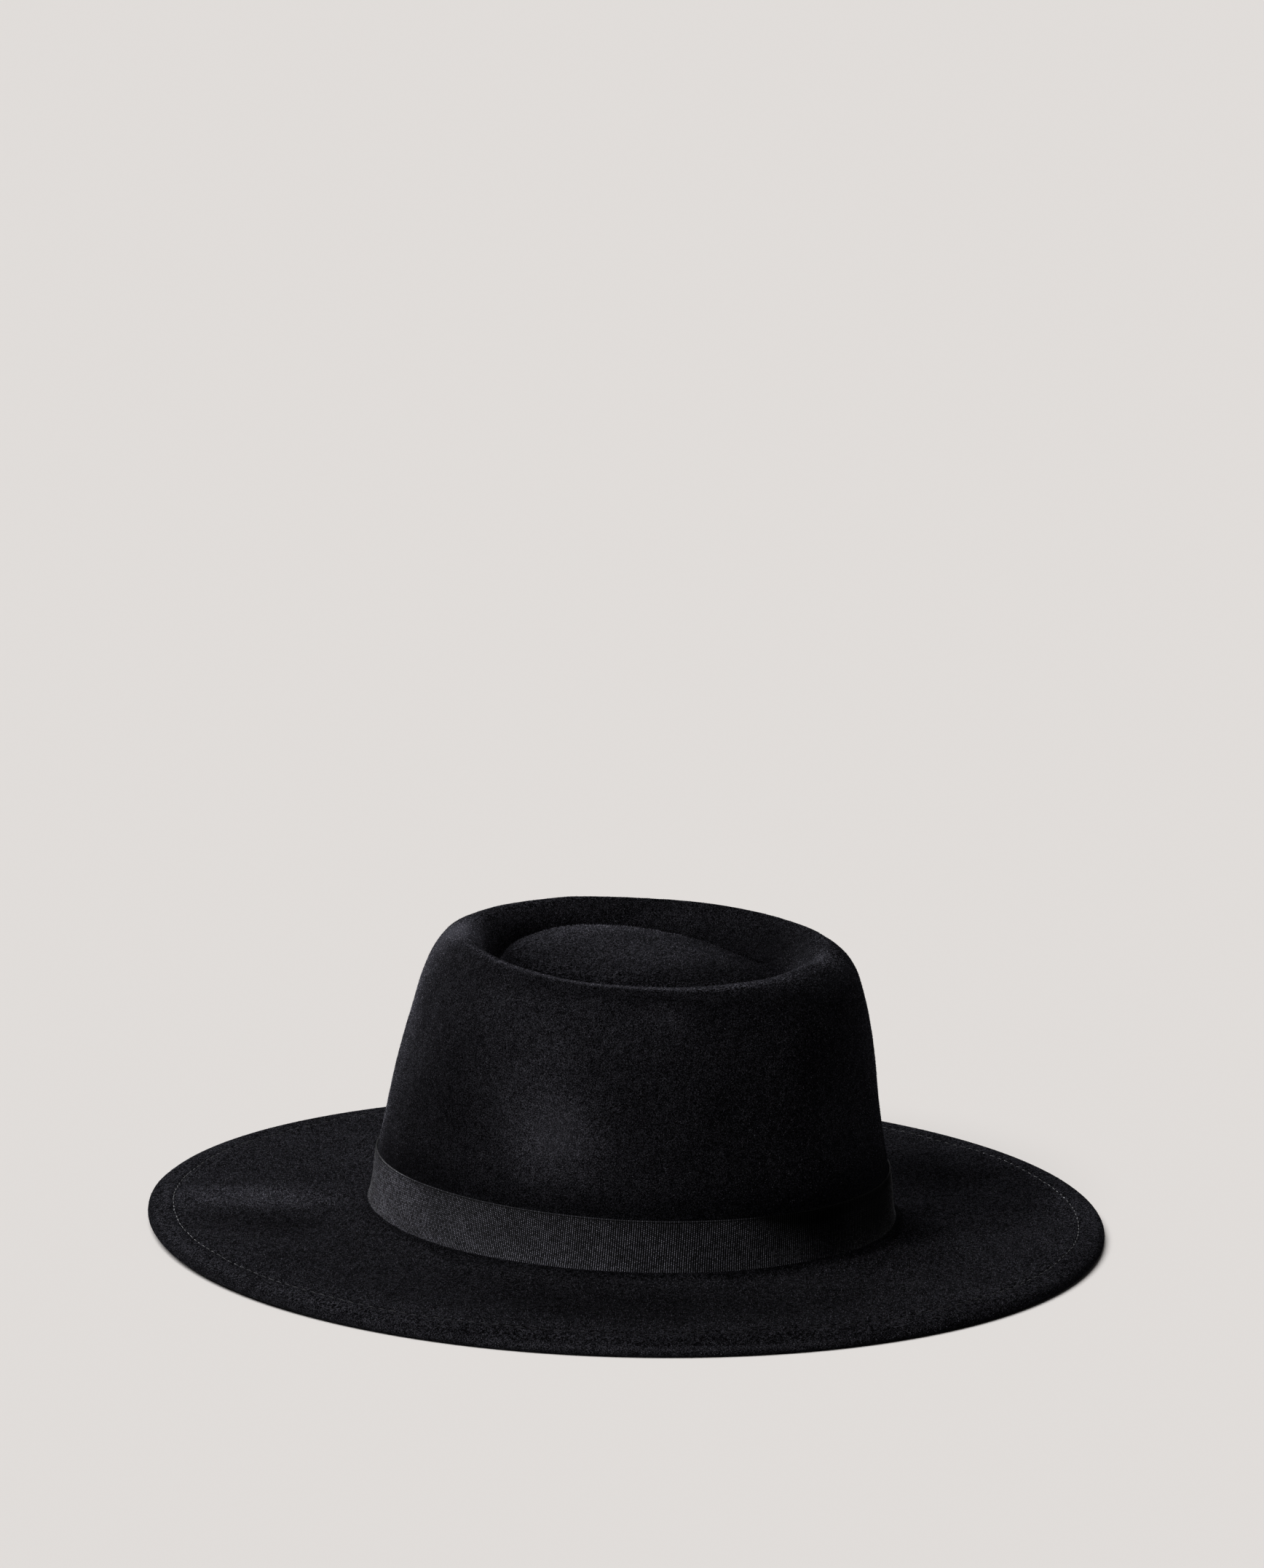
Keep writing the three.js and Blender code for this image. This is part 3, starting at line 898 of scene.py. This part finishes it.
def felt_material():
    nodes = Nodes("black_felt")
    place = nodes.add("TexCoord").outputs["Object"]
    # Winding tufts of nap, coarser where the felt lies flat, and slow changes over the hat.
    upwards = nodes.add("SeparateXYZ", {0: nodes.add("TexCoord").outputs["Normal"]}).outputs[2]
    flat = nodes.spread(nodes.math("ABSOLUTE", upwards), 0.8, 0.97)
    fine = nodes.noise(place, 0.34 * MM, detail=0.6, distortion=1.2)
    coarse = nodes.noise(place, 0.72 * MM, detail=0.6, distortion=1.4)
    tuft = nodes.blend(flat, fine, coarse)
    fibre = nodes.noise(place, 0.27 * MM, detail=1, distortion=0.8)
    clump = nodes.noise(place, 2.6 * MM, detail=2, roughness=0.6)
    patch = nodes.noise(place, 26 * MM, detail=3)
    # Level felt is painted lighter than steep felt: painted light on the faces that look up.
    light = nodes.math("MULTIPLY", nodes.spread(tuft, 0.52, 0.59), nodes.spread(flat, 0, 1, 1.15, 1.5))
    light = nodes.math("ADD", light, nodes.spread(fibre, 0.52, 0.72, 0, 0.5))
    light = nodes.math("MULTIPLY", light, nodes.spread(clump, 0.3, 0.7, 0.7, 1.3))
    light = nodes.math("MULTIPLY", light, nodes.spread(patch, 0.3, 0.7, 0.8, 1.2))
    # The attribute named nap holds the painted light and shade of the patches.
    nap = nodes.add("Attribute", attribute_name="nap").outputs["Fac"]
    # Where the painted light is strongest the speckle is evened out, and the painted light and shade then
    # scale the colour.
    light = nodes.blend(nodes.spread(nap, 0.8, 2.6, 0, 0.75), light, 0.55)
    painted_light = nodes.math("MAXIMUM", nodes.math("ADD", nap, 1), 0)
    light = nodes.math("MULTIPLY", nodes.math("MULTIPLY", light, painted_light), 0.2)
    colour = nodes.mix(light, (0.0005, 0.0005, 0.0006, 1), (0.17, 0.168, 0.201, 1))
    nodes.put(colour, nodes.shader.inputs["Base Color"])
    nodes.put(nodes.spread(clump, 0.2, 0.8, 0.85, 1), nodes.shader.inputs["Roughness"])
    height = nodes.math("ADD", tuft, nodes.math("MULTIPLY", fibre, 0.5))
    nodes.put(nodes.bump(height, 0.6 * MM, 0.9), nodes.shader.inputs["Normal"])
    nodes.put(0.0, nodes.shader.inputs["Specular IOR Level"])
    nodes.put(0.03, nodes.shader.inputs["Sheen Weight"])
    nodes.put(0.14, nodes.shader.inputs["Sheen Roughness"])
    nodes.put((0.75, 0.77, 0.85, 1), nodes.shader.inputs["Sheen Tint"])
    return nodes.material


def fibre_material():
    nodes = Nodes("black_nap")
    place = nodes.add("TexCoord").outputs["Object"]
    shade = nodes.noise(place, 0.5 * MM, detail=0)
    light = nodes.spread(shade, 0.4, 0.6, 0.1, 1)
    # The attribute named nap holds the painted light and shade of the patches.
    nap = nodes.add("Attribute", attribute_name="nap").outputs["Fac"]
    light = nodes.math("MULTIPLY", light, nodes.math("MULTIPLY", nodes.math("ADD", nap, 1), 0.3))
    # The tufts are painted far lighter than the felt under them: a painted sheen of fibres catching the
    # light.
    colour = nodes.mix(light, (0.001, 0.001, 0.0012, 1), (0.62, 0.613, 0.725, 1))
    nodes.put(colour, nodes.shader.inputs["Base Color"])
    nodes.put(0.85, nodes.shader.inputs["Roughness"])
    nodes.put(0.0, nodes.shader.inputs["Specular IOR Level"])
    return nodes.material


def grosgrain_material():
    nodes = Nodes("black_grosgrain")
    weave = nodes.add("UVMap", uv_map="weave").outputs["UV"]
    across, down, _ = nodes.add("SeparateXYZ", {0: weave}).outputs
    rib = nodes.math("FLOOR", across)
    off_ridge = nodes.math("ABSOLUTE", nodes.math("SUBTRACT", nodes.math("FRACT", across), 0.5))
    ridge = nodes.spread(off_ridge, 0.08, 0.36, 1, 0)
    # Warp threads cross the ribs as small beads, half a step on from rib to rib.
    crossing = nodes.math("ADD", nodes.math("MULTIPLY", down, 1.2), nodes.math("MULTIPLY", rib, 0.5))
    wave = nodes.math("SINE", nodes.math("MULTIPLY", crossing, 2 * math.pi))
    bead = nodes.spread(wave, -0.6, 0.8, 0.15, 1)
    place = nodes.add("TexCoord").outputs["Object"]
    yarn = nodes.noise(place, 0.4 * MM, detail=1)
    patch = nodes.noise(place, 9 * MM, detail=2)
    light = nodes.spread(yarn, 0.36, 0.64, 0.55, 1.3)
    light = nodes.math("MULTIPLY", light, nodes.spread(patch, 0.3, 0.7, 0.75, 1.15))
    # The crests of the ribs and the beads are painted lighter and the grooves between them darker: painted
    # highlights, and painted shade in the grooves.
    light = nodes.math("MULTIPLY", light, nodes.math("MULTIPLY", ridge, bead))
    # Each bead's painted glint is made brighter or dimmer at random.
    bead_number = nodes.math("FLOOR", nodes.math("ADD", crossing, 0.25))
    spot = nodes.add("CombineXYZ", {0: rib, 1: bead_number}).outputs[0]
    chance = nodes.add("TexWhiteNoise", {"Vector": spot}).outputs["Value"]
    light = nodes.math("MULTIPLY", light, nodes.spread(chance, 0, 1, 0.3, 1.7))
    # The upper selvedge is a plain cord, with a painted shadow line under it.
    selvedge = nodes.spread(down, 0.3, 0.42, 0.2, 0)
    line = nodes.spread(nodes.math("ABSOLUTE", nodes.math("SUBTRACT", down, 0.6)), 0.08, 0.22)
    light = nodes.math("MULTIPLY", nodes.math("MAXIMUM", light, selvedge), line)
    # The attribute named nap holds the ribbon's painted sheen and painted shade, from its patches.
    painted_sheen = nodes.add("Attribute", attribute_name="nap").outputs["Fac"]
    light = nodes.math("MULTIPLY", light, nodes.math("MAXIMUM", nodes.math("ADD", painted_sheen, 1), 0))
    share = nodes.math("MULTIPLY", light, 0.5)
    colour = nodes.mix(share, (0.0006, 0.0006, 0.0008, 1), (0.37, 0.367, 0.44, 1))
    nodes.put(colour, nodes.shader.inputs["Base Color"])
    nodes.put(nodes.spread(light, 0, 0.5, 0.95, 0.4), nodes.shader.inputs["Roughness"])
    nodes.put(0.2, nodes.shader.inputs["Specular IOR Level"])
    height = nodes.math("ADD", nodes.math("MULTIPLY", ridge, 1.5), nodes.math("ADD", bead, yarn))
    nodes.put(nodes.bump(height, 0.12 * MM, 0.8), nodes.shader.inputs["Normal"])
    return nodes.material


def thread_material():
    nodes = Nodes("black_thread")
    place = nodes.add("TexCoord").outputs["Object"]
    fibre = nodes.noise(place, 0.2 * MM, detail=2)
    colour = nodes.mix(nodes.spread(fibre, 0.3, 0.7), (0.01, 0.01, 0.012, 1), (0.045, 0.045, 0.053, 1))
    nodes.put(colour, nodes.shader.inputs["Base Color"])
    nodes.put(0.5, nodes.shader.inputs["Roughness"])
    nodes.put(0.2, nodes.shader.inputs["Specular IOR Level"])
    nodes.put(nodes.bump(fibre, 0.08 * MM, 0.7), nodes.shader.inputs["Normal"])
    return nodes.material


def floor_material():
    """Pale to the camera, and dark in the light that it throws back on the hat."""
    nodes = Nodes("pale_floor")
    nodes.put((0.8, 0.77, 0.748, 1), nodes.shader.inputs["Base Color"])
    nodes.put(1.0, nodes.shader.inputs["Roughness"])
    nodes.put(0.0, nodes.shader.inputs["Specular IOR Level"])
    dim = nodes.add("BsdfDiffuse", {"Color": (0.06, 0.058, 0.056, 1)})
    seen = nodes.add("LightPath").outputs["Is Camera Ray"]
    mix = nodes.add("MixShader", {0: seen, 1: dim.outputs[0], 2: nodes.shader.outputs[0]})
    nodes.put(mix.outputs[0], nodes.tree.nodes["Material Output"].inputs["Surface"])
    return nodes.material


# The floor, the light and the camera.


def floor():
    mesh = bpy.data.meshes.new("floor")
    reach = 40
    corners = [(-reach, -reach, 0), (reach, -reach, 0), (reach, reach, 0), (-reach, reach, 0)]
    mesh.from_pydata(corners, [], [(0, 1, 2, 3)])
    mesh.materials.append(floor_material())
    piece = place_object("floor", mesh)
    return piece


def sun(name, turn, elevation, strength, spread, colour, lit):
    """A soft light from far away, turned from the camera's side, that reaches only the collection lit."""
    data = bpy.data.lights.new(name, "SUN")
    data.energy = strength
    data.angle = math.radians(spread)
    data.color = colour
    light = place_object(name, data)
    light.rotation_euler = (math.radians(90 - elevation), 0, math.radians(VIEW_AZIMUTH + turn))
    light.light_linking.receiver_collection = lit


def collection(name, pieces):
    group = bpy.data.collections.new(name)
    for piece in pieces:
        group.objects.link(piece)
    return group


def world():
    scene_world = bpy.data.worlds.new("studio")
    bpy.context.scene.world = scene_world
    scene_world.use_nodes = True
    tree = scene_world.node_tree
    background = tree.nodes["Background"]
    background.inputs["Color"].default_value = BACKDROP
    background.inputs["Strength"].default_value = 0.05
    seen = tree.nodes.new("ShaderNodeBackground")
    seen.inputs["Color"].default_value = BACKDROP
    path = tree.nodes.new("ShaderNodeLightPath")
    mix = tree.nodes.new("ShaderNodeMixShader")
    output = tree.nodes["World Output"]
    tree.links.new(path.outputs["Is Camera Ray"], mix.inputs[0])
    tree.links.new(background.outputs[0], mix.inputs[1])
    tree.links.new(seen.outputs[0], mix.inputs[2])
    tree.links.new(mix.outputs[0], output.inputs["Surface"])


def camera():
    data = bpy.data.cameras.new("camera")
    data.lens = VIEW_LENS
    data.sensor_width = SENSOR
    piece = place_object("camera", data)
    azimuth = math.radians(VIEW_AZIMUTH)
    elevation = math.radians(VIEW_ELEVATION)
    level = math.cos(elevation)
    back = np.array([math.sin(azimuth) * level, -math.cos(azimuth) * level, math.sin(elevation)])
    right = np.array([math.cos(azimuth), math.sin(azimuth), 0])
    target = np.array([0, 0, VIEW_TARGET_HEIGHT])
    piece.location = target + back * VIEW_DISTANCE + right * VIEW_SIDESTEP
    piece.rotation_euler = (math.radians(90 - VIEW_PITCH), 0, azimuth)
    bpy.context.scene.camera = piece


felt, naps, stitch_row, under_stitch_row = felt_body()
felt.data.materials.append(felt_material())
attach(felt, "root")
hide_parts("felt_body")

nap_fibre = fibre_material()
for nap in naps:
    nap.data.materials.append(nap_fibre)
    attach(nap, "root")

band = ribbon()
band.data.materials.append(grosgrain_material())
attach(band, "root")
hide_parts("hatband")

stitches = hem_stitches(stitch_row, under_stitch_row)
stitches.data.materials.append(thread_material())
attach(stitches, "root")

ground = floor()
hat_only = collection("hat_only", [felt, band, stitches] + naps)
felt_only = collection("felt_only", [felt, stitches] + naps)
ground_only = collection("ground_only", [ground])
sun("key", -50, 9, 1.2, 20, WARM, hat_only)
sun("side", -90, 18, 0.75, 20, WARM, hat_only)
sun("top", -78, 54, 0.6, 30, WHITE, hat_only)
sun("back", -163, 36, 0.8, 35, COOL, hat_only)
sun("low_back", 180, 15, 0.3, 15, COOL, hat_only)
sun("rim", -157, 8, 1.4, 12, COOL, hat_only)
sun("kick", 133, 6, 0.35, 15, COOL, hat_only)
sun("fill", 30, 6, 0.25, 30, WHITE, felt_only)
sun("floor_light", -40, 62, 3.2, 50, WHITE, ground_only)
world()
camera()
bpy.context.scene.view_settings.view_transform = "Standard"
